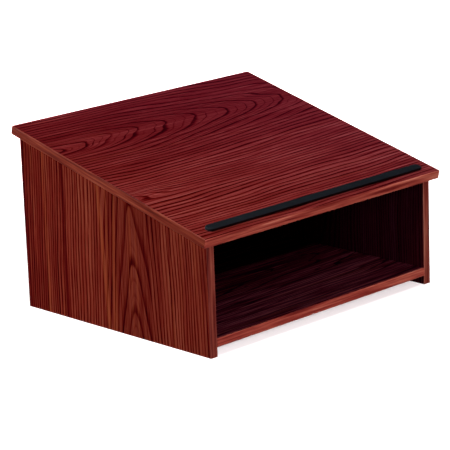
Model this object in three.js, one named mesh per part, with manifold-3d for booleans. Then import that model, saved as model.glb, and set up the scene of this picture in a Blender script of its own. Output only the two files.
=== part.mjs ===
// A tabletop photo album stand, built like a small lectern: a sloped reading board lies on two
// trapezoid sides, over an open cubby with a raised shelf and a closed back. Every panel is 16 mm
// wood-grain laminated board with a 2 mm edge band, held together by cam locks and dowels that
// don't show outside. A low black strip along the front of the board stops the album.
//
// Millimetres. +X is the reader's right, +Y the back, +Z up; the origin is on the table, under
// the middle of the stand. The cubby opens towards -Y.
import * as THREE from "three";
import { mergeVertices } from "three/addons/utils/BufferGeometryUtils.js";
import Module from "manifold-3d";

const wasm = await Module();
wasm.setup();

// ---- Driving dimensions ----
const BOARD = 16; // thickness of every panel
const BAND = 2; // thickness of the edge bands
const ARRIS = 1.5; // radius along the bands' outer edges
const GLUE_LINE = 0.1; // between a band and its board in the sloped frame
const REST_GAP = 0.3; // between the reading board and the panels below it

const BODY_WIDTH = 572; // over both sides
const BODY_DEPTH = 478; // of the sides
const FRONT_HEIGHT = 201.5; // from the table to the reading board, at the front of the sides
const SLOPE = 14.6; // degrees

const READING_WIDTH = 604;
const READING_DEPTH = 510; // along the slope
const FRONT_LIP = 10.5; // the reading board's overhang along the slope, in front of the sides
const READING_CORNER = 3; // radius of its corners in plan

const SHELF_RISE = 16.5; // from the table to the shelf
const BACK_INSET = 12; // from the sides' rear edges to the back panel

const STOP_LENGTH = 548;
const STOP_WIDTH = 18;
const STOP_HEIGHT = 4.5;
const STOP_SETBACK = 19; // from the reading board's front edge
const STOP_ARRIS = 0.8;
const STOP_SCREWS = [-240, -80, 80, 240]; // places along X

// Cam locks: a bolt stands 24 mm out of one panel's face and enters the other panel's edge,
// where a 15 mm disc turned from the face beside it draws it tight.
const CAM = { radius: 7.5, depth: 12, reach: 24, recess: 0.3, pocket: 3.6 };
const CAM_SLOT = { length: 9, width: 1.8, depth: 2 };
const BOLT = { thread: 2.5, threadLength: 11, point: 1, shank: 2.3, head: 3.2 };
const COLLAR = { radius: 3.7, foot: 0.5, top: 2.5, taper: 1 };
const DOWEL = { radius: 4, inFace: 10, inEdge: 20, chamfer: 0.8 };
const SCREW = { thread: 1.6, head: 3.2, headDepth: 1.8, point: 1, length: 18.6 };
const CLEARANCE = 0.3; // round every piece of hardware, in radius and at its end
const SIDES_OF = { disc: 20, bar: 10, boltBar: 8 }; // facets round each kind of turned piece
const ARRIS_STEPS = 3; // facets across a band's soft edge

const SHELF_CAMS = [48, 388]; // places behind the front of the sides
const SHELF_DOWELS = [80, 356];
const SHELF_BACK_DOWELS = [-150, 150]; // places along X
const BACK_CAMS = [62, 268]; // heights
const BACK_DOWEL = 165;
const READING_CAMS = [45, 440]; // places up the slope, from the front of the sides
const READING_DOWELS = [77, 408];

// ---- Places that follow from them ----
const TILT = THREE.MathUtils.degToRad(SLOPE);
const HALF_BODY = BODY_WIDTH / 2;
const HALF_INSIDE = HALF_BODY - BOARD;
const HALF_READING = READING_WIDTH / 2;
// How far the reading board's soft edges reach, measured back from the front of the sides. The
// origin is midway between the two, to the half millimetre that keeps shared faces exact.
const FRONT_REACH = (ARRIS - FRONT_LIP) * Math.cos(TILT) - (BOARD - ARRIS) * Math.sin(TILT) - ARRIS;
const REAR_REACH = (READING_DEPTH - FRONT_LIP - ARRIS) * Math.cos(TILT) - ARRIS * Math.sin(TILT) + ARRIS;
const FRONT_Y = -Math.round(FRONT_REACH + REAR_REACH) / 2;
const REAR_Y = FRONT_Y + BODY_DEPTH;
const BACK_REAR_Y = REAR_Y - BACK_INSET;
const BACK_FRONT_Y = BACK_REAR_Y - BOARD;
const SHELF_MIDDLE = SHELF_RISE + BOARD / 2;
const CAM_TOP = BOARD / 2 - CAM.recess; // from the middle of the board's thickness
const CAM_FLOOR = CAM_TOP - CAM.depth;
const TALLEST = FRONT_HEIGHT + READING_DEPTH; // above anything that the slope cuts off
const OVERCUT = 1; // how far a cutter runs past the face that it opens

// ---- Materials ----
const finish = (color, roughness, metalness = 0) =>
  new THREE.MeshStandardMaterial({ color, roughness, metalness });
const MATERIALS = {
  readingLaminate: finish(0x6b1d20, 0.42),
  sideLaminate: finish(0x6a2217, 0.45),
  band: finish(0x7d3a2c, 0.4),
  stop: finish(0x1a1e23, 0.55),
  zinc: finish(0x9a9a98, 0.4, 0.9),
  steel: finish(0xb4b4b0, 0.3, 0.95),
  beech: finish(0xc9a475, 0.7),
};

// ---- Solids ----
function toSolid(geometry) {
  const bare = geometry.index ? geometry.toNonIndexed() : geometry.clone();
  bare.deleteAttribute("normal");
  bare.deleteAttribute("uv");
  const merged = mergeVertices(bare, 1e-4);
  return new wasm.Manifold(
    new wasm.Mesh({
      numProp: 3,
      vertProperties: merged.attributes.position.array,
      triVerts: new Uint32Array(merged.index.array),
    }),
  );
}

function toGeometry(solid) {
  const { numProp, vertProperties, triVerts } = solid.getMesh();
  const positions = new Float32Array((vertProperties.length / numProp) * 3);
  for (let i = 0; i * numProp < vertProperties.length; i++)
    positions.set(vertProperties.subarray(i * numProp, i * numProp + 3), i * 3);
  const geometry = new THREE.BufferGeometry();
  geometry.setAttribute("position", new THREE.BufferAttribute(positions, 3));
  geometry.setIndex(new THREE.BufferAttribute(triVerts, 1));
  geometry.computeVertexNormals();
  return geometry;
}

const cut = (geometry, cutters) =>
  toGeometry(cutters.reduce((solid, cutter) => solid.subtract(toSolid(cutter)), toSolid(geometry)));

const common = (a, b) => toGeometry(toSolid(a).intersect(toSolid(b)));

function boxBetween(low, high) {
  const [x, y, z] = low.map((value, i) => high[i] - value);
  const [cx, cy, cz] = low.map((value, i) => (high[i] + value) / 2);
  return new THREE.BoxGeometry(x, y, z).translate(cx, cy, cz);
}

// A round bar along Z, from one height to another.
function barAlongZ(radius, from, to, segments) {
  return new THREE.CylinderGeometry(radius, radius, to - from, segments)
    .rotateX(Math.PI / 2)
    .translate(0, 0, (from + to) / 2);
}

// A turned piece on the Z axis from its [radius, height] outline, listed from the bottom up.
function turned(outline, segments) {
  const points = outline.map(([radius, height]) => new THREE.Vector2(radius, height));
  return new THREE.LatheGeometry(points, segments).rotateX(Math.PI / 2);
}

// The plan of a rectangle with round corners, centred on the origin.
function roundedRectangle(width, depth, radius) {
  const shape = new THREE.Shape();
  const x = width / 2 - radius;
  const y = depth / 2 - radius;
  shape.absarc(x, y, radius, 0, Math.PI / 2);
  shape.absarc(-x, y, radius, Math.PI / 2, Math.PI);
  shape.absarc(-x, -y, radius, Math.PI, Math.PI * 1.5);
  shape.absarc(x, -y, radius, Math.PI * 1.5, Math.PI * 2);
  return shape;
}

// A flat slab on z = 0 with round corners in plan and soft top and bottom arrises.
function softSlab(width, depth, height, corner, arris, { corners, steps, flatBase }) {
  const levels = [];
  for (let i = 0; i <= steps; i++) {
    const angle = (i / steps) * (Math.PI / 2);
    levels.push({ inset: arris * (1 - Math.cos(angle)), z: height - arris * (1 - Math.sin(angle)) });
  }
  if (flatBase) levels.unshift({ inset: 0, z: 0 });
  else levels.unshift(...levels.map(({ inset, z }) => ({ inset, z: height - z })).reverse());

  const positions = [];
  const index = [];
  for (const { inset, z } of levels) {
    const plan = roundedRectangle(width - 2 * inset, depth - 2 * inset, corner - inset);
    for (const { x, y } of plan.getPoints(corners).slice(0, -1)) positions.push(x, y, z);
  }
  const around = positions.length / 3 / levels.length;
  for (let level = 0; level + 1 < levels.length; level++) {
    for (let i = 0; i < around; i++) {
      const a = level * around + i;
      const b = level * around + ((i + 1) % around);
      index.push(a, b, b + around, a, b + around, a + around);
    }
  }
  const base = positions.length / 3;
  positions.push(0, 0, 0, 0, 0, height);
  const last = (levels.length - 1) * around;
  for (let i = 0; i < around; i++) {
    const next = (i + 1) % around;
    index.push(base, next, i, base + 1, last + i, last + next);
  }
  const geometry = new THREE.BufferGeometry();
  geometry.setAttribute("position", new THREE.Float32BufferAttribute(positions, 3));
  geometry.setIndex(index);
  return geometry;
}

// ---- The frames that pieces are placed in ----
// The reading board's frame: X across, Y up the slope from the front of the sides, Z out of it.
const readingFrame = new THREE.Matrix4()
  .makeRotationX(TILT)
  .setPosition(0, FRONT_Y, FRONT_HEIGHT);

// A joint's frame: Z runs into the edge of the panel that is drawn up, X to the face that its cam
// is turned from, and the origin is on the seam, in the middle of the edge.
function jointFrame(origin, alongBolt, toCamFace) {
  const z = new THREE.Vector3(...alongBolt);
  const x = new THREE.Vector3(...toCamFace);
  const y = new THREE.Vector3().crossVectors(z, x);
  return new THREE.Matrix4().makeBasis(x, y, z).setPosition(...origin);
}

const SIDES = { left: -1, right: 1 };
const UP = [0, 0, 1];
const DOWN = [0, 0, -1];
const FORWARD = [0, -1, 0];

// Each joint says which panel holds the bolt in its face and which takes it in its edge.
const joints = [];
for (const [side, sign] of Object.entries(SIDES)) {
  const sidePanel = `${side}_side_panel`;
  const inwards = [-sign, 0, 0];
  const seamX = sign * HALF_INSIDE;
  const backY = (BACK_FRONT_Y + BACK_REAR_Y) / 2;
  const ends = ["front", "rear"];
  SHELF_CAMS.forEach((y, i) =>
    joints.push({
      kind: "cam",
      name: `shelf_${side}_${ends[i]}`,
      face: sidePanel,
      edge: "shelf_panel",
      frame: jointFrame([seamX, FRONT_Y + y, SHELF_MIDDLE], inwards, DOWN),
    }),
  );
  SHELF_DOWELS.forEach((y, i) =>
    joints.push({
      kind: "dowel",
      name: `shelf_${side}_${ends[i]}`,
      face: sidePanel,
      edge: "shelf_panel",
      frame: jointFrame([seamX, FRONT_Y + y, SHELF_MIDDLE], inwards, UP),
    }),
  );
  BACK_CAMS.forEach((z, i) =>
    joints.push({
      kind: "cam",
      name: `back_${side}_${["lower", "upper"][i]}`,
      face: sidePanel,
      edge: "back_panel",
      frame: jointFrame([seamX, backY, z], inwards, FORWARD),
    }),
  );
  joints.push({
    kind: "dowel",
    name: `back_${side}`,
    face: sidePanel,
    edge: "back_panel",
    frame: jointFrame([seamX, backY, BACK_DOWEL], inwards, UP),
  });
  const sideMiddle = sign * (HALF_BODY - BOARD / 2);
  READING_CAMS.forEach((y, i) =>
    joints.push({
      kind: "cam",
      name: `reading_${side}_${ends[i]}`,
      face: "reading_board",
      edge: sidePanel,
      frame: jointFrame([sideMiddle, y, 0], DOWN, inwards).premultiply(readingFrame),
    }),
  );
  READING_DOWELS.forEach((y, i) =>
    joints.push({
      kind: "dowel",
      name: `reading_${side}_${ends[i]}`,
      face: "reading_board",
      edge: sidePanel,
      frame: jointFrame([sideMiddle, y, 0], DOWN, inwards).premultiply(readingFrame),
    }),
  );
}
SHELF_BACK_DOWELS.forEach((x, i) =>
  joints.push({
    kind: "dowel",
    name: `shelf_back_${["left", "right"][i]}`,
    face: "back_panel",
    edge: "shelf_panel",
    frame: jointFrame([x, BACK_FRONT_Y, SHELF_MIDDLE], FORWARD, UP),
  }),
);

// ---- Bores ----
const BORES = {
  cam: {
    face: [
      barAlongZ(BOLT.thread + CLEARANCE, -BOLT.threadLength - CLEARANCE, OVERCUT, SIDES_OF.boltBar),
    ],
    edge: [
      barAlongZ(COLLAR.radius + CLEARANCE, -OVERCUT, CAM.reach, SIDES_OF.bar),
      barAlongZ(CAM.radius + CLEARANCE, CAM_FLOOR - CLEARANCE, BOARD / 2 + OVERCUT, SIDES_OF.disc)
        .rotateY(Math.PI / 2)
        .translate(0, 0, CAM.reach),
    ],
  },
  dowel: {
    face: [barAlongZ(DOWEL.radius + CLEARANCE, -DOWEL.inFace - CLEARANCE, OVERCUT, SIDES_OF.bar)],
    edge: [barAlongZ(DOWEL.radius + CLEARANCE, -OVERCUT, DOWEL.inEdge + CLEARANCE, SIDES_OF.bar)],
  },
};

// Every bore that the joints make in one panel.
function boresIn(panel) {
  return joints.flatMap(({ kind, face, edge, frame }) => {
    const bores = panel === face ? BORES[kind].face : panel === edge ? BORES[kind].edge : [];
    return bores.map((bore) => bore.clone().applyMatrix4(frame));
  });
}

// What the slope takes off the panels below the reading board.
const slopeCutter = boxBetween(
  [-READING_WIDTH, -READING_DEPTH, -REST_GAP],
  [READING_WIDTH, 2 * READING_DEPTH, TALLEST],
).applyMatrix4(readingFrame);

// ---- Panels ----
function sidePanel(side) {
  const outer = SIDES[side] * HALF_BODY;
  const inner = SIDES[side] * HALF_INSIDE;
  const blank = boxBetween(
    [Math.min(outer, inner), FRONT_Y + BAND, 0],
    [Math.max(outer, inner), REAR_Y - BAND, TALLEST],
  );
  return cut(blank, [slopeCutter, ...boresIn(`${side}_side_panel`)]);
}

function shelfPanel() {
  const blank = boxBetween(
    [-HALF_INSIDE, FRONT_Y + BAND, SHELF_RISE],
    [HALF_INSIDE, BACK_FRONT_Y, SHELF_RISE + BOARD],
  );
  return cut(blank, boresIn("shelf_panel"));
}

function backPanel() {
  const blank = boxBetween([-HALF_INSIDE, BACK_FRONT_Y, SHELF_RISE], [HALF_INSIDE, BACK_REAR_Y, TALLEST]);
  return cut(blank, [slopeCutter, ...boresIn("back_panel")]);
}

// The reading board and its bands are cut from one slab with soft arrises, in the board's frame.
const READING_FRONT = -FRONT_LIP;
const READING_REAR = READING_DEPTH - FRONT_LIP;
const readingSlab = softSlab(READING_WIDTH, READING_DEPTH, BOARD, READING_CORNER, ARRIS, {
  corners: 5,
  steps: ARRIS_STEPS,
  flatBase: false,
}).translate(0, (READING_FRONT + READING_REAR) / 2, 0);
const toReadingFrame = readingFrame.clone().invert();

const stopY = READING_FRONT + STOP_SETBACK + STOP_WIDTH / 2;

// A stop screw stands on z = 0, the underside of the reading board, with its head down.
function stopScrew() {
  const { thread, head, headDepth, point, length } = SCREW;
  const outline = [[0, 0], [head, 0], [thread, headDepth], [thread, length - point], [0, length]];
  return turned(outline, SIDES_OF.bar);
}

function stopScrewBore() {
  const { thread, head, headDepth, length } = SCREW;
  const wall = thread + CLEARANCE;
  const mouth = head + CLEARANCE;
  const end = length + CLEARANCE;
  const outline = [[0, -OVERCUT], [mouth, -OVERCUT], [mouth, 0], [wall, headDepth], [wall, end], [0, end]];
  return turned(outline, SIDES_OF.bar);
}

const screwBores = STOP_SCREWS.map((x) => stopScrewBore().translate(x, stopY, 0));

function readingBoard() {
  const core = boxBetween(
    [-HALF_READING + BAND, READING_FRONT + BAND, 0],
    [HALF_READING - BAND, READING_REAR - BAND, BOARD],
  );
  const bores = boresIn("reading_board").map((bore) => bore.applyMatrix4(toReadingFrame));
  return cut(core, [...bores, ...screwBores]);
}

// The long bands cover the ends of the short ones.
function readingBands() {
  const strip = BAND - GLUE_LINE;
  const outside = READING_WIDTH;
  const shortBand = (from, to) =>
    common(
      readingSlab,
      boxBetween([from, READING_FRONT + BAND, -OVERCUT], [to, READING_REAR - BAND, BOARD + OVERCUT]),
    );
  const longBand = (from, to) =>
    common(readingSlab, boxBetween([-outside, from, -OVERCUT], [outside, to, BOARD + OVERCUT]));
  return {
    reading_front_band: longBand(READING_FRONT - OVERCUT, READING_FRONT + strip),
    reading_rear_band: longBand(READING_REAR - strip, READING_REAR + OVERCUT),
    reading_left_band: shortBand(-HALF_READING - OVERCUT, -HALF_READING + strip),
    reading_right_band: shortBand(HALF_READING - strip, HALF_READING + OVERCUT),
  };
}

// A band on a straight edge, along +Z from z = 0: its back is on y = 0 and its soft face at y = -BAND.
function edgeBand(length) {
  const half = BOARD / 2;
  const shape = new THREE.Shape();
  shape.moveTo(-half, 0);
  shape.lineTo(-half, ARRIS - BAND);
  shape.absarc(ARRIS - half, ARRIS - BAND, ARRIS, Math.PI, Math.PI * 1.5);
  shape.absarc(half - ARRIS, ARRIS - BAND, ARRIS, Math.PI * 1.5, Math.PI * 2);
  shape.lineTo(half, 0);
  const options = { depth: length, bevelEnabled: false, curveSegments: ARRIS_STEPS };
  return new THREE.ExtrudeGeometry(shape, options);
}

function sideBand(side, end) {
  const band = edgeBand(TALLEST);
  if (end === "rear") band.rotateZ(Math.PI);
  const y = end === "front" ? FRONT_Y + BAND : REAR_Y - BAND;
  return cut(band.translate(SIDES[side] * (HALF_BODY - BOARD / 2), y, 0), [slopeCutter]);
}

function shelfBand() {
  return edgeBand(2 * HALF_INSIDE)
    .rotateY(Math.PI / 2)
    .translate(-HALF_INSIDE, FRONT_Y + BAND, SHELF_MIDDLE);
}

function bookStop() {
  const strip = softSlab(STOP_LENGTH, STOP_WIDTH, STOP_HEIGHT, STOP_WIDTH / 2, STOP_ARRIS, {
    corners: 8,
    steps: 2,
    flatBase: true,
  }).translate(0, stopY, BOARD + GLUE_LINE);
  return cut(strip, screwBores);
}

// ---- Hardware, each in its joint's frame ----
function camDisc() {
  const disc = barAlongZ(CAM.radius, CAM_FLOOR, CAM_TOP, SIDES_OF.disc)
    .rotateY(Math.PI / 2)
    .translate(0, 0, CAM.reach);
  const pocketStart = CAM.reach - CAM.radius - OVERCUT;
  const pocket = barAlongZ(CAM.pocket, pocketStart, CAM.reach + BOLT.head, SIDES_OF.bar);
  const long = CAM_SLOT.length / 2;
  const short = CAM_SLOT.width / 2;
  const slots = [[long, short], [short, long]].map(([y, z]) =>
    boxBetween([CAM_TOP - CAM_SLOT.depth, -y, CAM.reach - z], [CAM_TOP + OVERCUT, y, CAM.reach + z]),
  );
  return cut(disc, [pocket, ...slots]);
}

function camBolt() {
  const { thread, threadLength, point, shank, head } = BOLT;
  return turned(
    [
      [0, -threadLength],
      [thread, point - threadLength],
      [thread, 0],
      [COLLAR.radius, COLLAR.foot],
      [COLLAR.radius, COLLAR.top],
      [shank, COLLAR.top + COLLAR.taper],
      [shank, CAM.reach - head],
      [head, CAM.reach - head / 2],
      [head, CAM.reach + head / 2],
      [0, CAM.reach + head - CLEARANCE],
    ],
    SIDES_OF.boltBar,
  );
}

function dowelPin() {
  const { radius, inFace, inEdge, chamfer } = DOWEL;
  return turned(
    [
      [0, -inFace],
      [radius - chamfer, -inFace],
      [radius, chamfer - inFace],
      [radius, inEdge - chamfer],
      [radius - chamfer, inEdge],
      [0, inEdge],
    ],
    SIDES_OF.bar,
  );
}

// ---- Assembly ----
const stand = new THREE.Group();
stand.name = "photo_album_stand";

function addPiece(group, name, geometry, material) {
  const mesh = new THREE.Mesh(geometry, material);
  mesh.name = name;
  group.add(mesh);
  return mesh;
}

for (const side of Object.keys(SIDES)) {
  addPiece(stand, `${side}_side_panel`, sidePanel(side), MATERIALS.sideLaminate);
  for (const end of ["front", "rear"])
    addPiece(stand, `${side}_side_${end}_band`, sideBand(side, end), MATERIALS.band);
}
addPiece(stand, "shelf_panel", shelfPanel(), MATERIALS.sideLaminate);
addPiece(stand, "shelf_front_band", shelfBand(), MATERIALS.band);
addPiece(stand, "back_panel", backPanel(), MATERIALS.sideLaminate);

const reading = new THREE.Group();
reading.rotation.x = TILT;
reading.position.set(0, FRONT_Y, FRONT_HEIGHT);
stand.add(reading);
addPiece(reading, "reading_board", readingBoard(), MATERIALS.readingLaminate);
for (const [name, geometry] of Object.entries(readingBands()))
  addPiece(reading, name, geometry, MATERIALS.band);
addPiece(reading, "book_stop", bookStop(), MATERIALS.stop);
STOP_SCREWS.forEach((x, i) => {
  const screw = addPiece(reading, `stop_screw_${i + 1}`, stopScrew(), MATERIALS.steel);
  screw.position.set(x, stopY, REST_GAP);
});

const disc = camDisc();
const bolt = camBolt();
const dowel = dowelPin();
for (const { kind, name, frame } of joints) {
  const pieces =
    kind === "cam"
      ? [[`cam_${name}`, disc, MATERIALS.zinc], [`cam_bolt_${name}`, bolt, MATERIALS.steel]]
      : [[`dowel_${name}`, dowel, MATERIALS.beech]];
  for (const [pieceName, geometry, material] of pieces)
    addPiece(stand, pieceName, geometry, material).applyMatrix4(frame);
}

export default stand;
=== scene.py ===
"""The looks of a photo album stand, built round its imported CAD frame.

The stand is a small tabletop lectern of wood-grain laminated board. The CAD panels, dowels and
bolts keep their shapes and get their materials here. The edge bands, the black book stop, the cam
discs and the screws are finished as finer pieces that stand for their CAD nodes. Lengths in
this file are metres, except in the wood materials, whose grain is laid out in millimetres.
"""

import math

import bmesh
import bpy
from mathutils import Matrix, Vector


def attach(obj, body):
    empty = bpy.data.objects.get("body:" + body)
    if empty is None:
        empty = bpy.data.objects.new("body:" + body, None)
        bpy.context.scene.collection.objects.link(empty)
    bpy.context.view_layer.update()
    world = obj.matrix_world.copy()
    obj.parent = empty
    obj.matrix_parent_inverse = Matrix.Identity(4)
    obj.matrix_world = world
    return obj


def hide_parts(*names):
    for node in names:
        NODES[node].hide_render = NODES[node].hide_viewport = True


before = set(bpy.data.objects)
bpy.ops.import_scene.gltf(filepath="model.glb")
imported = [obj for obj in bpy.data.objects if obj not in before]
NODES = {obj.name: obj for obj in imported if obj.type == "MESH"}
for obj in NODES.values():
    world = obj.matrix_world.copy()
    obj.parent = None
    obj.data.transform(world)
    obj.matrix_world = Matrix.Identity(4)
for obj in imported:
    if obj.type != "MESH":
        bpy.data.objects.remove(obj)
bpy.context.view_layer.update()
MM = 0.001

# ---- The camera ----
CAMERA_AZIMUTH = math.radians(-44.22)
CAMERA_ELEVATION = math.radians(15.26)
CAMERA_ROLL = math.radians(-2.08)
CAMERA_DISTANCE = 4.0623
CAMERA_AIM = Vector((-0.0097, 0.0045, 0.1349))
CAMERA_LENS = 177.2
SENSOR = 36.0

# ---- The sloped board's own frame ----
SLOPE = math.radians(14.6)
UP_SLOPE = Vector((0.0, math.cos(SLOPE), math.sin(SLOPE)))
OUT_OF_SLOPE = Vector((0.0, -math.sin(SLOPE), math.cos(SLOPE)))

X_AXIS = Vector((1.0, 0.0, 0.0))
Y_AXIS = Vector((0.0, 1.0, 0.0))
Z_AXIS = Vector((0.0, 0.0, 1.0))


def extent(node, direction):
    """The least and the greatest distance of a node along a direction."""
    reach = [v.co.dot(direction) for v in NODES[node].data.vertices]
    return min(reach), max(reach)


def srgb(red, green, blue):
    """A display colour, 0 to 255, as the linear colour that a shader takes."""
    def linear(value):
        value /= 255.0
        return value / 12.92 if value <= 0.04045 else ((value + 0.055) / 1.055) ** 2.4

    return (linear(red), linear(green), linear(blue), 1.0)


# ---- Materials ----
class Graph:
    """One material's nodes, with short calls to add to them."""

    def __init__(self, name):
        self.material = bpy.data.materials.new(name)
        self.material.use_nodes = True
        self.tree = self.material.node_tree
        self.tree.nodes.clear()
        self.shader = self.add("ShaderNodeBsdfPrincipled")
        output = self.add("ShaderNodeOutputMaterial")
        self.tree.links.new(self.shader.outputs[0], output.inputs[0])
        self.place = self.add("ShaderNodeTexCoord").outputs["Object"]

    def add(self, kind, **settings):
        node = self.tree.nodes.new(kind)
        for key, value in settings.items():
            setattr(node, key, value)
        return node

    def set(self, socket, value):
        """Gives a socket a fixed value, or a link if the value is another socket."""
        if isinstance(value, bpy.types.NodeSocket):
            self.tree.links.new(value, socket)
        else:
            socket.default_value = value

    def math(self, operation, *values, clamp=False):
        node = self.add("ShaderNodeMath", operation=operation, use_clamp=clamp)
        for socket, value in zip(node.inputs, values):
            self.set(socket, value)
        return node.outputs[0]

    def plus(self, a, b):
        return self.math("ADD", a, b)

    def minus(self, a, b):
        return self.math("SUBTRACT", a, b)

    def times(self, a, b):
        return self.math("MULTIPLY", a, b)

    def fade(self, value, start, end):
        """0 where value is at start, 1 where it is at end, eased between them."""
        node = self.add("ShaderNodeMapRange", interpolation_type="SMOOTHSTEP")
        self.set(node.inputs["Value"], value)
        low, high = min(start, end), max(start, end)
        node.inputs["From Min"].default_value = low
        node.inputs["From Max"].default_value = high
        node.inputs["To Min"].default_value = 0.0 if start < end else 1.0
        node.inputs["To Max"].default_value = 1.0 if start < end else 0.0
        return node.outputs["Result"]

    def distance_along(self, axis):
        """The surface point's distance along an axis, in millimetres."""
        node = self.add("ShaderNodeVectorMath", operation="DOT_PRODUCT")
        self.set(node.inputs[0], self.place)
        node.inputs[1].default_value = axis / MM
        return node.outputs["Value"]

    def vector(self, x, y, z):
        node = self.add("ShaderNodeCombineXYZ")
        for socket, value in zip(node.inputs, (x, y, z)):
            self.set(socket, value)
        return node.outputs[0]

    def noise(self, vector, scale=1.0, detail=2.0, roughness=0.5):
        node = self.add("ShaderNodeTexNoise")
        self.set(node.inputs["Vector"], vector)
        node.inputs["Scale"].default_value = scale
        node.inputs["Detail"].default_value = detail
        node.inputs["Roughness"].default_value = roughness
        return node.outputs["Fac"]

    def random(self, value):
        """A number from 0 to 1 that is the same for equal values."""
        node = self.add("ShaderNodeTexWhiteNoise", noise_dimensions="1D")
        self.set(node.inputs["W"], value)
        return node.outputs["Value"]

    def mix(self, amount, a, b, blend="MIX"):
        node = self.add("ShaderNodeMix", data_type="RGBA", blend_type=blend)
        self.set(node.inputs["Factor"], amount)
        self.set(node.inputs[6], a)
        self.set(node.inputs[7], b)
        return node.outputs[2]

    def ramp(self, value, stops):
        node = self.add("ShaderNodeValToRGB")
        self.set(node.inputs["Fac"], value)
        elements = node.color_ramp.elements
        while len(elements) < len(stops):
            elements.new(0.5)
        for element, (position, color) in zip(elements, stops):
            element.position = position
            element.color = color
        return node.outputs["Color"]

    def bump(self, height, depth):
        """Relief of a height from 0 to 1, that deep in metres."""
        node = self.add("ShaderNodeBump")
        self.set(node.inputs["Height"], height)
        node.inputs["Strength"].default_value = 1.0
        node.inputs["Distance"].default_value = depth
        self.set(self.shader.inputs["Normal"], node.outputs["Normal"])


# Wood tones, from the darkest grain to the lightest: the right side's, the reading board's at its
# front left, and at its rear right bluer ones that paint a pale sky's reflection there, those of
# the left side and the back, and the shelf's, tinted bluer as painted shade of the dim cubby.
RED_TONES = [
    (0.00, srgb(44, 0, 8)),
    (0.25, srgb(76, 2, 12)),
    (0.50, srgb(102, 18, 26)),
    (0.75, srgb(128, 42, 44)),
    (1.00, srgb(156, 76, 70)),
]
TOP_TONES = [
    (0.00, srgb(44, 0, 0)),
    (0.20, srgb(64, 0, 2)),
    (0.34, srgb(85, 6, 6)),
    (0.56, srgb(111, 28, 24)),
    (0.74, srgb(127, 43, 40)),
    (0.86, srgb(145, 60, 55)),
    (1.00, srgb(160, 80, 72)),
]
SKY_REFLECTION_TONES = [
    (0.00, srgb(44, 0, 10)),
    (0.20, srgb(66, 0, 14)),
    (0.34, srgb(88, 9, 21)),
    (0.56, srgb(105, 26, 37)),
    (0.74, srgb(119, 39, 48)),
    (0.86, srgb(140, 59, 66)),
    (1.00, srgb(156, 80, 86)),
]
BROWN_TONES = [
    (0.00, srgb(42, 0, 2)),
    (0.25, srgb(74, 3, 6)),
    (0.50, srgb(102, 25, 18)),
    (0.75, srgb(127, 51, 36)),
    (1.00, srgb(152, 80, 58)),
]
# The shelf's tones are bluer than the other boards': a painted tint of the dim light in the cubby.
SHELF_SHADE_TINTED_TONES = [
    (0.00, srgb(34, 0, 12)),
    (0.25, srgb(66, 0, 18)),
    (0.50, srgb(96, 6, 28)),
    (0.75, srgb(146, 46, 50)),
    (1.00, srgb(206, 110, 92)),
]
ORANGE_STREAK = srgb(140, 61, 33)
HEART_SHADE = srgb(176, 120, 150)


# What a figure is like where a board says nothing else. Lengths are millimetres.
PLAIN_FIGURE = {
    "wander": 30.0,  # how far the grain strays from a straight line
    "ripple": 5.0,  # how far it strays over a shorter length
    "unrest": 0.5,  # how far the rings stray, in rings
    "thinning": 0.3,  # how much thinner the arches' tips are than a true cut
    "shade": 62.0,  # how far the darker heart reaches
    "tint": 0.5,  # how much the heart takes its own shade
    "base": 0.80,  # the tone between the lines
    "bold": 1.0,  # the ring lines' strength
    "soft": 0.0,  # how much of it they lose in the heart
    "fine": (0.60, 0.25),  # the strength of the lines between, away from the heart and in it
    "lines": 0.70,  # the long light and dark lines' strength
    "orange": 0.5,  # the stray orange streaks' strength
    "eyes": (),  # arches of their own: tip, centre, length, width, height in rings
    "streaks_and_shade": (),  # listed: place, lean, width, amount, which is orange above 0 and dark below
    "cool": None,  # where, along and across the grain added, the bluer tones start and are full: a painted reflection
}


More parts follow.
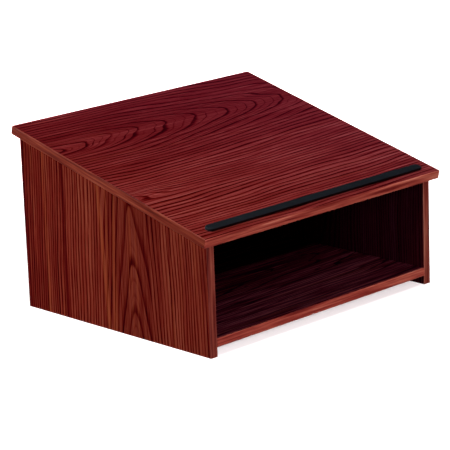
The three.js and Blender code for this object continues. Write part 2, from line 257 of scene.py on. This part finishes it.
def wood(name, along, across, out, figure, tones, seed):
    """Laminate printed with flat-sawn grain. The figure is what a plane cuts from tapered growth
    rings: its heart runs along the grain at `heart`, the rings' axis lies `depth` below the face
    and sinks by `taper`, and the rings are `ring` apart, all of it in millimetres. Wide dark
    streaks and the cool tones, where a figure has them, are painted shade and a painted reflection."""
    figure = {**PLAIN_FIGURE, **figure}
    g = Graph(name)
    u = g.distance_along(along)
    v = g.distance_along(across)
    layer = g.plus(g.times(g.distance_along(out), 0.1), seed)

    def grain_noise(length, width, shift, detail=2.0, roughness=0.5):
        place = g.vector(g.times(u, 1 / length), g.times(v, 1 / width), g.plus(layer, shift))
        return g.noise(place, 1.0, detail, roughness)

    def swing(noise, amount):
        return g.times(g.minus(noise, 0.5), amount)

    # The grain's wander, slow and wide, with a quicker ripple.
    wander = swing(grain_noise(300.0, 120.0, 3.1, 1.0), figure["wander"])
    ripple = swing(grain_noise(120.0, 28.0, 7.7, 1.0), figure["ripple"])
    bent = g.plus(v, g.plus(wander, ripple))

    # Growth rings, counted from their axis. Where the face cuts them flat they spread out, and
    # `steepness` keeps each ring's line as thin there as elsewhere.
    ring = figure["ring"]
    sideways = g.minus(bent, figure["heart"])
    below = g.plus(g.times(u, figure["taper"]), figure["depth"])
    radius = g.math("SQRT", g.plus(g.times(sideways, sideways), g.times(below, below)))
    steepness = g.math("MAXIMUM", g.math("DIVIDE", g.math("ABSOLUTE", sideways), radius), 0.1)
    steepness = g.math("POWER", steepness, figure["thinning"])
    rings = g.times(radius, 1 / ring)
    for tip, centre, length, width, height in figure["eyes"]:
        away = g.times(g.minus(bent, centre), 1 / width)
        hill = g.math("EXPONENT", g.times(g.times(away, away), -1.0))
        rings = g.plus(rings, g.times(g.times(hill, g.fade(u, tip, tip - length)), height))
    rings = g.plus(rings, swing(grain_noise(700.0, 55.0, 12.3, 1.0), 2.4))
    rings = g.plus(rings, swing(grain_noise(260.0, 22.0, 5.9, 1.0), figure["unrest"]))

    def ring_lines(rate, thickness, least, shift):
        """Dark lines, so many to a ring and so thick, each of a strength of its own."""
        count = g.times(rings, rate)
        spread = g.math("DIVIDE", ring / rate, steepness)
        after = g.times(g.math("FRACT", count), spread)
        before = g.minus(spread, after)
        trailing = g.fade(after, thickness, 0.15 * thickness)
        line = g.plus(trailing, g.fade(before, 0.3 * thickness, 0.0))
        strength = g.random(g.plus(g.math("FLOOR", count), shift))
        return g.times(line, g.plus(g.times(strength, 1.0 - least), least))

    # Open pores break the lines into dashes.
    pores = grain_noise(46.0, 1.5, 21.0, 3.0, 0.6)
    lines = grain_noise(170.0, 3.0, 27.0, 2.0, 0.55)
    fibres = grain_noise(22.0, 0.7, 34.0, 3.0, 0.6)
    zones = grain_noise(420.0, 34.0, 55.0, 2.0, 0.5)
    near_heart = g.times(sideways, 1 / figure["shade"])
    heart = g.math("EXPONENT", g.times(g.times(near_heart, near_heart), -1.0))
    bold = ring_lines(1.0, 3.4, 0.45, seed)
    fine = ring_lines(3.0, 1.3, 0.1, seed + 50.0)
    away, near = figure["fine"]
    fine = g.times(fine, g.plus(g.times(heart, near - away), away))
    soft = g.plus(g.times(heart, -figure["soft"]), 1.0)
    dark = g.plus(g.times(g.times(bold, soft), figure["bold"]), fine)
    dark = g.times(dark, g.plus(g.times(g.fade(pores, 0.25, 0.65), 0.75), 0.40))

    tone = g.plus(figure["base"], g.times(dark, -0.68))
    tone = g.plus(tone, swing(lines, figure["lines"]))
    tone = g.plus(tone, swing(fibres, 0.40))
    tone = g.plus(tone, swing(zones, 0.45))
    tone = g.plus(tone, g.times(heart, -0.12))
    warm = 0.0
    # Dark streaks: the narrow ones are print; a wide one that darkens a whole end of a board is
    # painted shade.
    for place, lean, width, amount in figure["streaks_and_shade"]:
        middle = g.plus(g.times(u, lean), place)
        away = g.math("ABSOLUTE", g.minus(g.plus(v, ripple), middle))
        streak_and_shade = g.times(g.fade(away, width, 0.3 * width), abs(amount))
        if amount > 0:
            warm = g.math("MAXIMUM", warm, streak_and_shade)
        else:
            tone = g.minus(tone, streak_and_shade)
    tone = g.math("ADD", tone, g.times(warm, 0.25), clamp=True)
    color = g.ramp(tone, tones)
    # Towards the rear right the tones turn bluer: a painted reflection of a pale sky, which also
    # lightens that end a little as painted light.
    if figure["cool"]:
        start, end = figure["cool"]
        color = g.mix(g.fade(g.plus(u, v), start, end), color, g.ramp(tone, SKY_REFLECTION_TONES))
    shaded = g.mix(1.0, color, HEART_SHADE, "MULTIPLY")
    color = g.mix(g.times(heart, figure["tint"]), color, shaded)

    stray = g.fade(grain_noise(380.0, 7.0, 77.0, 1.0), 0.58, 0.72)
    warm = g.math("MAXIMUM", warm, g.times(stray, figure["orange"]))
    warm = g.times(warm, g.fade(tone, 0.25, 0.65))
    g.set(g.shader.inputs["Base Color"], g.mix(warm, color, ORANGE_STREAK))
    g.set(g.shader.inputs["Roughness"], g.plus(g.times(fibres, 0.14), 0.38))
    g.shader.inputs["IOR"].default_value = 1.45
    g.shader.inputs["Specular IOR Level"].default_value = 0.006
    g.bump(g.plus(g.times(dark, -0.6), fibres), 0.00006)
    return g.material


# The edge bands' tones: along the front and the rear, up the reading board's sides, and upright.
BAND_TONES = [
    (0.0, srgb(84, 16, 14)),
    (0.3, srgb(112, 36, 30)),
    (0.55, srgb(132, 54, 44)),
    (0.8, srgb(148, 72, 58)),
    (1.0, srgb(162, 92, 76)),
]
TOP_SIDE_BAND_TONES = [
    (0.0, srgb(72, 10, 4)),
    (0.3, srgb(102, 28, 16)),
    (0.55, srgb(122, 43, 27)),
    (0.8, srgb(138, 59, 41)),
    (1.0, srgb(152, 78, 57)),
]
SIDE_BAND_TONES = [
    (0.0, srgb(66, 12, 10)),
    (0.3, srgb(88, 28, 22)),
    (0.55, srgb(102, 40, 32)),
    (0.8, srgb(116, 54, 43)),
    (1.0, srgb(132, 74, 60)),
]


def band_wood(name, along, across, out, tones, seed):
    """The edge bands' lighter print: straight fine grain along the band."""
    g = Graph(name)
    u, v, w = (g.distance_along(axis) for axis in (along, across, out))

    def stretched(length, width, shift):
        depth = g.plus(g.times(w, 1 / width), seed + shift)
        place = g.vector(g.times(u, 1 / length), g.times(v, 1 / width), depth)
        return g.noise(place, 1.0, 3.0, 0.55)

    lines = stretched(130.0, 4.2, 2.0)
    fibres = stretched(26.0, 0.9, 9.0)
    zones = stretched(90.0, 16.0, 17.0)
    tone = g.plus(0.5, g.times(g.minus(lines, 0.5), 2.5))
    tone = g.plus(tone, g.times(g.minus(fibres, 0.5), 0.5))
    tone = g.math("ADD", tone, g.times(g.minus(zones, 0.5), 0.7), clamp=True)
    g.set(g.shader.inputs["Base Color"], g.ramp(tone, tones))
    g.set(g.shader.inputs["Roughness"], g.plus(g.times(fibres, 0.12), 0.30))
    g.shader.inputs["Specular IOR Level"].default_value = 0.2
    g.bump(fibres, 0.00003)
    return g.material


def black_plastic(name):
    g = Graph(name)
    grain = g.noise(g.place, 2600.0, 2.0, 0.5)
    clouds = g.noise(g.place, 22.0, 2.0, 0.5)
    color = g.ramp(clouds, [(0.3, srgb(10, 15, 22)), (0.7, srgb(17, 23, 30))])
    g.set(g.shader.inputs["Base Color"], color)
    g.set(g.shader.inputs["Roughness"], g.plus(g.times(grain, 0.2), 0.36))
    g.shader.inputs["Specular IOR Level"].default_value = 0.3
    g.bump(grain, 0.00004)
    return g.material


def metal(name, light, dark, roughness, scale):
    g = Graph(name)
    grain = g.noise(g.place, scale, 3.0, 0.6)
    g.set(g.shader.inputs["Base Color"], g.ramp(grain, [(0.35, dark), (0.65, light)]))
    g.set(g.shader.inputs["Roughness"], g.plus(g.times(grain, 0.25), roughness))
    g.shader.inputs["Metallic"].default_value = 1.0
    g.bump(grain, 0.00003)
    return g.material


def beech(name):
    g = Graph(name)
    grain = g.noise(g.place, 900.0, 3.0, 0.6)
    color = g.ramp(grain, [(0.3, srgb(176, 134, 92)), (0.7, srgb(214, 178, 132))])
    g.set(g.shader.inputs["Base Color"], color)
    g.set(g.shader.inputs["Roughness"], g.plus(g.times(grain, 0.2), 0.6))
    g.bump(grain, 0.00008)
    return g.material


def paint(node, material):
    NODES[node].data.materials.clear()
    NODES[node].data.materials.append(material)


# ---- Shapes ----
ARRIS = 1.5 * MM  # radius along the bands' outer edges
CORNER = 3 * MM  # radius of the reading board's corners in plan
END_ARRIS = 0.2 * MM  # at the cut ends of a band
STOP_ARRIS = 0.8 * MM
BAR_DEPTH = 20 * MM  # of the bar that a straight band is cut from
RECESS_TAPER = 0.8  # a cross recess's floor against its mouth


def slab(size, corner, arris, corner_steps, arris_steps, flat_base=False):
    """A slab centred on the origin, with round corners in plan and soft arrises."""
    width, depth, height = size
    top = height / 2
    turns = [math.pi / 2 * i / arris_steps for i in range(arris_steps + 1)]
    levels = [(arris * (1 - math.cos(turn)), top - arris * (1 - math.sin(turn))) for turn in turns]
    base = [(0.0, -top)] if flat_base else [(inset, -z) for inset, z in reversed(levels)]
    shape = bmesh.new()
    rings = []
    for inset, z in base + levels:
        ring = []
        for quarter, (side, end) in enumerate(((1, 1), (-1, 1), (-1, -1), (1, -1))):
            for i in range(corner_steps + 1):
                angle = (quarter + i / corner_steps) * math.pi / 2
                x = side * (width / 2 - corner) + (corner - inset) * math.cos(angle)
                y = end * (depth / 2 - corner) + (corner - inset) * math.sin(angle)
                ring.append(shape.verts.new((x, y, z)))
        rings.append(ring)
    for low, high in zip(rings, rings[1:]):
        for i, vertex in enumerate(low):
            after = (i + 1) % len(low)
            shape.faces.new((vertex, low[after], high[after], high[i]))
    shape.faces.new(list(reversed(rings[0])))
    shape.faces.new(rings[-1])
    bmesh.ops.remove_doubles(shape, verts=shape.verts, dist=1e-6)
    return shape


def cut_beyond(shape, direction, distance):
    """Takes off what lies further along a direction than a distance, and closes the cut."""
    everything = shape.verts[:] + shape.edges[:] + shape.faces[:]
    cut = bmesh.ops.bisect_plane(
        shape, geom=everything, plane_co=direction * distance, plane_no=direction, clear_outer=True
    )
    rim = [part for part in cut["geom_cut"] if isinstance(part, bmesh.types.BMEdge)]
    bmesh.ops.holes_fill(shape, edges=rim)


def turned(outline, segments):
    """A solid turned about the z axis from its (radius, height) outline, listed from the bottom
    up. Returns its rings too, so that an end can be worked on."""
    shape = bmesh.new()
    rings = []
    angles = [2 * math.pi * i / segments for i in range(segments)]
    for radius, height in outline:
        places = [(radius * math.cos(a), radius * math.sin(a), height) for a in angles]
        rings.append([shape.verts.new(place) for place in places])
    for low, high in zip(rings, rings[1:]):
        for i, vertex in enumerate(low):
            after = (i + 1) % segments
            shape.faces.new((vertex, low[after], high[after], high[i]))
    return shape, rings


def cross_recess(shape, rim, length, width, depth):
    """Closes the ring `rim` with a flat face that has a cross sunk into it."""
    height = rim[0].co.z
    long, short = length / 2, width / 2
    quarter = ((short, short), (short, long), (-short, long))
    top, floor = [], []
    for turn in range(4):
        spin = Matrix.Rotation(turn * math.pi / 2, 2)
        for corner in quarter:
            x, y = spin @ Vector(corner)
            top.append(shape.verts.new((x, y, height)))
            floor.append(shape.verts.new((x * RECESS_TAPER, y * RECESS_TAPER, height - depth)))
    edges = []
    for ring in (rim, top):
        for i, vertex in enumerate(ring):
            pair = (vertex, ring[(i + 1) % len(ring)])
            edges.append(shape.edges.get(pair) or shape.edges.new(pair))
    for i, vertex in enumerate(top):
        after = (i + 1) % len(top)
        shape.faces.new((vertex, top[after], floor[after], floor[i]))
    shape.faces.new(floor)
    bmesh.ops.triangle_fill(shape, use_beauty=True, use_dissolve=False, edges=edges)


def finish_piece(shape, node, material, place=None):
    """Makes a shape the finished piece that stands for a CAD node, and returns it."""
    if place is not None:
        shape.transform(place)
    bmesh.ops.remove_doubles(shape, verts=shape.verts, dist=1e-7)
    bmesh.ops.recalc_face_normals(shape, faces=shape.faces)
    mesh = bpy.data.meshes.new(node + "_finished")
    shape.to_mesh(mesh)
    shape.free()
    mesh.shade_smooth()
    mesh.set_sharp_from_angle(angle=math.radians(40))
    mesh.materials.append(material)
    piece = bpy.data.objects.new(node + "_finished", mesh)
    bpy.context.scene.collection.objects.link(piece)
    piece.modifiers.new("flat_faces", "WEIGHTED_NORMAL").keep_sharp = True
    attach(piece, "root")
    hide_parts(node)
    return piece


def frame_of(x, y, z, origin=Vector()):
    """The matrix that takes a shape's own axes to these ones, and its origin to that one."""
    return Matrix.Translation(origin) @ Matrix((x, y, z)).transposed().to_4x4()


def middle_of(node, x, y, z):
    """The middle of a node's extents along three square directions."""
    return sum((axis * (sum(extent(node, axis)) / 2) for axis in (x, y, z)), Vector())


def size_of(node, x, y, z):
    return [extent(node, axis)[1] - extent(node, axis)[0] for axis in (x, y, z)]


def make_bands(woods):
    """The nine edge bands, each cut from a soft-edged solid. Returns those that face front."""
    slope = (X_AXIS, UP_SLOPE, OUT_OF_SLOPE)
    front, rear = "reading_front_band", "reading_rear_band"
    width, _, height = size_of(front, *slope)
    low, high = extent(front, UP_SLOPE)[0], extent(rear, UP_SLOPE)[1]
    out = sum(extent(front, OUT_OF_SLOPE)) / 2
    centre = UP_SLOPE * ((low + high) / 2) + OUT_OF_SLOPE * out
    made = {}
    for edge in ("front", "rear", "left", "right"):
        node = f"reading_{edge}_band"
        shape = slab((width, high - low, height), CORNER, ARRIS, 8, 8)
        shape.transform(frame_of(*slope, centre))
        if edge != "front":
            cut_beyond(shape, -UP_SLOPE, -extent(node, UP_SLOPE)[0])
        if edge != "rear":
            cut_beyond(shape, UP_SLOPE, extent(node, UP_SLOPE)[1])
        if edge == "left":
            cut_beyond(shape, X_AXIS, extent(node, X_AXIS)[1])
        if edge == "right":
            cut_beyond(shape, -X_AXIS, -extent(node, X_AXIS)[0])
        wood_name = "across" if edge in ("front", "rear") else "up_slope"
        made[node] = finish_piece(shape, node, woods[wood_name])

    for side in ("left", "right"):
        for end, outwards in (("front", -Y_AXIS), ("rear", Y_AXIS)):
            node = f"{side}_side_{end}_band"
            width, _, height = size_of(node, X_AXIS, Y_AXIS, Z_AXIS)
            shape = slab((width, BAR_DEPTH, height), ARRIS, END_ARRIS, 8, 2)
            face = extent(node, outwards)[1]
            centre = X_AXIS * (sum(extent(node, X_AXIS)) / 2) + Z_AXIS * (height / 2)
            shape.transform(Matrix.Translation(centre + outwards * (face - BAR_DEPTH / 2)))
            cut_beyond(shape, -outwards, extent(node, -outwards)[1])
            cut_beyond(shape, OUT_OF_SLOPE, extent(node, OUT_OF_SLOPE)[1])
            made[node] = finish_piece(shape, node, woods["upright"])

    node = "shelf_front_band"
    length, _, height = size_of(node, X_AXIS, Y_AXIS, Z_AXIS)
    shape = slab((height, BAR_DEPTH, length), ARRIS, END_ARRIS, 8, 2)
    centre = middle_of(node, X_AXIS, Y_AXIS, Z_AXIS)
    centre.y = extent(node, Y_AXIS)[0] + BAR_DEPTH / 2
    shape.transform(frame_of(Z_AXIS, Y_AXIS, -X_AXIS, centre))
    cut_beyond(shape, Y_AXIS, extent(node, Y_AXIS)[1])
    made[node] = finish_piece(shape, node, woods["across"])
    return [piece for node, piece in made.items() if "front" in node]


def make_stop(material):
    slope = (X_AXIS, UP_SLOPE, OUT_OF_SLOPE)
    size = size_of("book_stop", *slope)
    shape = slab(size, size[1] / 2, STOP_ARRIS, 20, 6, flat_base=True)
    finish_piece(shape, "book_stop", material, frame_of(*slope, middle_of("book_stop", *slope)))


CAM_FACES = {"shelf": -Z_AXIS, "back": -Y_AXIS}  # the reading board's cams face the middle
CAM_ARRIS = 0.5 * MM
CAM_CROSS = (9 * MM, 2 * MM, 2.5 * MM)  # length, width and depth of the recess
SCREW_CROSS = (3.4 * MM, 0.9 * MM, 1.4 * MM)


def make_cam(node, material):
    """A cam disc with a cross in the face that a screwdriver turns."""
    kind = node.split("_")[1]
    side = -1.0 if "left" in node else 1.0
    face = CAM_FACES.get(kind, -X_AXIS * side)
    across = Z_AXIS if kind != "shelf" else X_AXIS
    low, high = extent(node, face)
    radius = (extent(node, across)[1] - extent(node, across)[0]) / 2
    inner, height = radius - CAM_ARRIS, high - low
    outline = [(inner, 0.0), (radius, CAM_ARRIS), (radius, height - CAM_ARRIS), (inner, height)]
    shape, rings = turned(outline, 40)
    shape.faces.new(list(reversed(rings[0])))
    cross_recess(shape, rings[-1], *CAM_CROSS)
    aside = face.cross(across)
    centre = middle_of(node, face, across, aside) + face * (low - (low + high) / 2)
    finish_piece(shape, node, material, frame_of(across, aside, face, centre))


def make_screw(node, material):
    """A countersunk screw, driven up into the stop through the reading board."""
    x, y, z = X_AXIS, UP_SLOPE, -OUT_OF_SLOPE
    low, high = extent(node, z)
    length = high - low
    head, thread, core, tip = 3.2 * MM, 1.6 * MM, 1.2 * MM, 0.1 * MM
    point, taper, pitch, rim = 2.0 * MM, 1.8 * MM, 1.2 * MM, 0.2 * MM
    outline = [(tip, 0.0), (core, point)]
    height = point
    while height < length - taper - 2 * pitch:
        outline += [(thread, height + pitch / 2), (core, height + pitch)]
        height += pitch
    outline += [(thread, length - taper), (head, length - rim), (head, length)]
    shape, rings = turned(outline, 32)
    shape.faces.new(list(reversed(rings[0])))
    cross_recess(shape, rings[-1], *SCREW_CROSS)
    centre = middle_of(node, x, y, z) + z * (low - (low + high) / 2)
    finish_piece(shape, node, material, frame_of(x, z.cross(x), z, centre))


# ---- Camera ----
def make_camera():
    data = bpy.data.cameras.new("camera")
    data.sensor_width = SENSOR
    data.lens = CAMERA_LENS
    data.clip_start, data.clip_end = 0.1, 100.0
    camera = bpy.data.objects.new("camera", data)
    bpy.context.scene.collection.objects.link(camera)
    level = Vector((math.cos(CAMERA_AZIMUTH), math.sin(CAMERA_AZIMUTH), 0.0))
    outwards = Vector((math.sin(CAMERA_AZIMUTH), -math.cos(CAMERA_AZIMUTH), 0.0))
    back = outwards * math.cos(CAMERA_ELEVATION) + Z_AXIS * math.sin(CAMERA_ELEVATION)
    upright = back.cross(level)
    right = level * math.cos(CAMERA_ROLL) + upright * math.sin(CAMERA_ROLL)
    up = upright * math.cos(CAMERA_ROLL) - level * math.sin(CAMERA_ROLL)
    turn = Matrix((right, up, back)).transposed().to_4x4()
    camera.matrix_world = Matrix.Translation(CAMERA_AIM + back * CAMERA_DISTANCE) @ turn
    bpy.context.scene.camera = camera


# ---- Stage ----
FLOOR_HALF = 30.0
BACKDROP_RADIUS = 25.0


def softbox(name, place, aim, width, height, power, color=(1.0, 1.0, 1.0), only=None):
    """A rectangular light aimed at a point. It lights one collection's objects if given one."""
    data = bpy.data.lights.new(name, "AREA")
    data.shape = "RECTANGLE"
    data.size = width
    data.size_y = height
    data.energy = power
    data.color = color
    light = bpy.data.objects.new(name, data)
    bpy.context.scene.collection.objects.link(light)
    place = Vector(place)
    light.location = place
    light.rotation_mode = "QUATERNION"
    light.rotation_quaternion = (Vector(aim) - place).to_track_quat("-Z", "Y")
    if only is not None:
        light.light_linking.receiver_collection = only
    return light


def only_on(name, objects):
    """A collection that a light is linked to, so that it lights only these objects."""
    collection = bpy.data.collections.new(name)
    for obj in objects:
        collection.objects.link(obj)
    return collection


def make_stage(front_pieces):
    """The floor, the backdrop and the lights. Some lights are linked to a few pieces only, because
    the photo's own light differs between the shelf, the inner wall, the front edges and the floor."""
    scene = bpy.context.scene
    scene.view_settings.view_transform = "Standard"
    world = bpy.data.worlds.new("studio")
    world.use_nodes = True
    background = world.node_tree.nodes["Background"]
    background.inputs["Color"].default_value = (1.0, 1.0, 1.0, 1.0)
    background.inputs["Strength"].default_value = 0.03
    scene.world = world

    corners = [(x * FLOOR_HALF, y * FLOOR_HALF, 0) for x, y in ((-1, -1), (1, -1), (1, 1), (-1, 1))]
    mesh = bpy.data.meshes.new("floor")
    mesh.from_pydata(corners, [], [(0, 1, 2, 3)])
    floor = bpy.data.objects.new("floor", mesh)
    scene.collection.objects.link(floor)
    g = Graph("pale_floor")
    g.shader.inputs["Base Color"].default_value = (0.8, 0.8, 0.8, 1.0)
    g.shader.inputs["Roughness"].default_value = 0.9
    # The floor glows pinkish, a painted light: faint near the stand, so that shadows there stay dark
    # and pink, and strong away from it, so that the far floor is white.
    g.shader.inputs["Emission Color"].default_value = (1.0, 0.6, 0.66, 1.0)
    from_stand = g.add("ShaderNodeVectorMath", operation="LENGTH")
    g.set(from_stand.inputs[0], g.place)
    painted_glow = g.plus(g.times(g.fade(from_stand.outputs["Value"], 0.5, 1.6), 1.6), 0.2)
    g.set(g.shader.inputs["Emission Strength"], painted_glow)
    mesh.materials.append(g.material)
    floor.visible_diffuse = False
    floor.visible_glossy = False

    dome_mesh = bpy.data.meshes.new("backdrop")
    shape = bmesh.new()
    bmesh.ops.create_uvsphere(shape, u_segments=48, v_segments=24, radius=BACKDROP_RADIUS)
    shape.to_mesh(dome_mesh)
    shape.free()
    dome = bpy.data.objects.new("backdrop", dome_mesh)
    scene.collection.objects.link(dome)
    b = Graph("pale_backdrop")
    b.shader.inputs["Base Color"].default_value = (0.0, 0.0, 0.0, 1.0)
    b.shader.inputs["Emission Color"].default_value = (1.0, 1.0, 1.0, 1.0)
    b.shader.inputs["Emission Strength"].default_value = 1.0
    dome_mesh.materials.append(b.material)
    dome.visible_diffuse = False
    dome.visible_glossy = False
    dome.visible_shadow = False
    dome.visible_transmission = False

    middle = (0.0, 0.0, 0.15)
    cubby = [NODES["shelf_panel"], NODES["right_side_panel"]]
    seen = [obj for obj in scene.objects if obj.type == "MESH"]
    not_shelf = only_on("all_but_shelf", [obj for obj in seen if obj != cubby[0]])
    not_cubby = only_on("all_but_cubby", [obj for obj in seen if obj not in cubby])
    softbox("overhead", (-0.5, -0.2, 2.9), (0.0, 0.0, 0.2), 2.2, 1.4, 53.0, only=not_shelf)
    softbox("left_fill", (-2.9, -0.2, 1.2), middle, 1.4, 1.0, 38.0, only=not_cubby)
    softbox("right_fill", (2.9, 0.5, 1.2), middle, 1.4, 1.2, 45.0).visible_glossy = False
    softbox("rear_fill", (-1.6, 3.0, 1.2), (0.0, 0.2, 0.15), 1.6, 1.2, 60.0)

    # A low hard light reaches halfway back along the shelf; a soft one skims in from the left.
    shelf, wall = (only_on(name, [NODES[name]]) for name in ("shelf_panel", "right_side_panel"))
    cool, cooler = (1.0, 0.8, 1.9), (1.0, 0.7, 3.0)
    softbox("shelf_light", (0.3, -3.0, 1.87), (0.0, -0.1, 0.03), 0.2, 0.1, 12.8, cool, shelf)
    softbox("wall_light", (-2.58, -1.09, 0.52), (0.27, -0.16, 0.12), 0.5, 0.5, 2.2, cooler, wall)

    edges = only_on("front_edges", front_pieces)
    softbox("front_fill", (-0.6, -3.0, 0.8), (0.0, -0.2, 0.15), 1.6, 1.2, 108.0, only=edges)
    ground = only_on("ground", [floor])
    softbox("floor_wash", (-1.6, -3.2, 0.95), (0.0, -0.2, 0.0), 3.0, 1.6, 430.0, only=ground)
    softbox("floor_top", (0.0, 0.8, 3.0), (0.0, 0.8, 0.0), 5.0, 5.0, 60.0, only=ground)


# ---- Pieces ----
LOW_EDGE = extent("reading_board", UP_SLOPE)[0] / MM
WOODS = {
    "reading_board": wood(
        "reading_laminate", X_AXIS, UP_SLOPE, OUT_OF_SLOPE,
        {"heart": LOW_EDGE + 388.0, "depth": 43.0, "taper": 0.125, "ring": 8.8, "ripple": 6.0,
         "unrest": 0.38, "thinning": 0.6, "shade": 95.0, "tint": 0.15, "base": 0.75, "bold": 1.45,
         "soft": 0.35, "fine": (0.35, 0.85), "lines": 0.9, "orange": 0.1,
         "eyes": [(-165.0, LOW_EDGE + 183.0, 170.0, 20.0, 4.0)],
         # The wide dark streak toward the rear is painted shade, darker towards the rear; the wide
         # heart shade there is partly painted shade too.
         "streaks_and_shade": [(LOW_EDGE + 500.0, 0.0, 330.0, -0.07)],
         # The cool tones toward the rear right are a painted reflection of a pale sky.
         "cool": (-300.0 + LOW_EDGE, 810.0 + LOW_EDGE)},
        TOP_TONES, 1.0,
    ),
    "left_side_panel": wood(
        "left_laminate", Z_AXIS, Y_AXIS, X_AXIS,
        {"heart": -46.0, "depth": 61.0, "taper": 0.065, "ring": 6.4, "wander": 14.0, "ripple": 3.0,
         "orange": 0.35,
         "streaks_and_shade": [
             (20.0, 0.072, 6.0, 0.65), (8.0, -0.044, 5.0, 0.5), (183.0, 0.0, 6.0, 0.4),
             (132.0, 0.0, 6.0, -0.30), (238.0, 0.0, 8.0, -0.25), (-141.0, 0.0, 3.5, -0.30),
             (240.0, 0.0, 200.0, -0.16),
         ]},
        BROWN_TONES, 11.0,
    ),
    "right_side_panel": wood(
        "right_laminate", Z_AXIS, Y_AXIS, X_AXIS,
        {"heart": 40.0, "depth": 70.0, "taper": -0.065, "ring": 5.8},
        RED_TONES, 23.0,
    ),
    "back_panel": wood(
        "back_laminate", Z_AXIS, X_AXIS, Y_AXIS,
        {"heart": 60.0, "depth": 55.0, "taper": 0.07, "ring": 6.2},
        BROWN_TONES, 31.0,
    ),
    "shelf_panel": wood(
        "shelf_laminate", X_AXIS, Y_AXIS, Z_AXIS,
        {"heart": -30.0, "depth": 60.0, "taper": 0.09, "ring": 13.0, "unrest": 1.0,
         "thinning": 0.6, "bold": 1.3, "fine": (0.7, 0.7), "lines": 2.4,
         # The wide dark streak over the rear half is painted shade, darker towards the back of the
         # cubby.
         "streaks_and_shade": [(215.0, 0.0, 420.0, -0.3)]},
        SHELF_SHADE_TINTED_TONES, 43.0,
    ),
}
for node, material in WOODS.items():
    paint(node, material)

band_woods = {
    "upright": band_wood("band_upright", Z_AXIS, X_AXIS, Y_AXIS, SIDE_BAND_TONES, 3.0),
    "across": band_wood("band_across", X_AXIS, OUT_OF_SLOPE, UP_SLOPE, BAND_TONES, 5.0),
    "up_slope": band_wood(
        "band_up_slope", UP_SLOPE, OUT_OF_SLOPE, X_AXIS, TOP_SIDE_BAND_TONES, 8.0
    ),
}
zinc = metal("cam_zinc", srgb(186, 186, 184), srgb(150, 150, 150), 0.3, 500.0)
steel = metal("steel", srgb(200, 200, 198), srgb(170, 170, 170), 0.22, 700.0)
pale_beech = beech("dowel_beech")
front_pieces = make_bands(band_woods)
make_stop(black_plastic("stop_black"))
for name in sorted(NODES):
    if name.startswith("cam_bolt"):
        paint(name, steel)
    elif name.startswith("dowel_"):
        paint(name, pale_beech)
    elif name.startswith("stop_screw"):
        make_screw(name, steel)
    elif name.startswith("cam_"):
        make_cam(name, zinc)

make_camera()
make_stage(front_pieces)
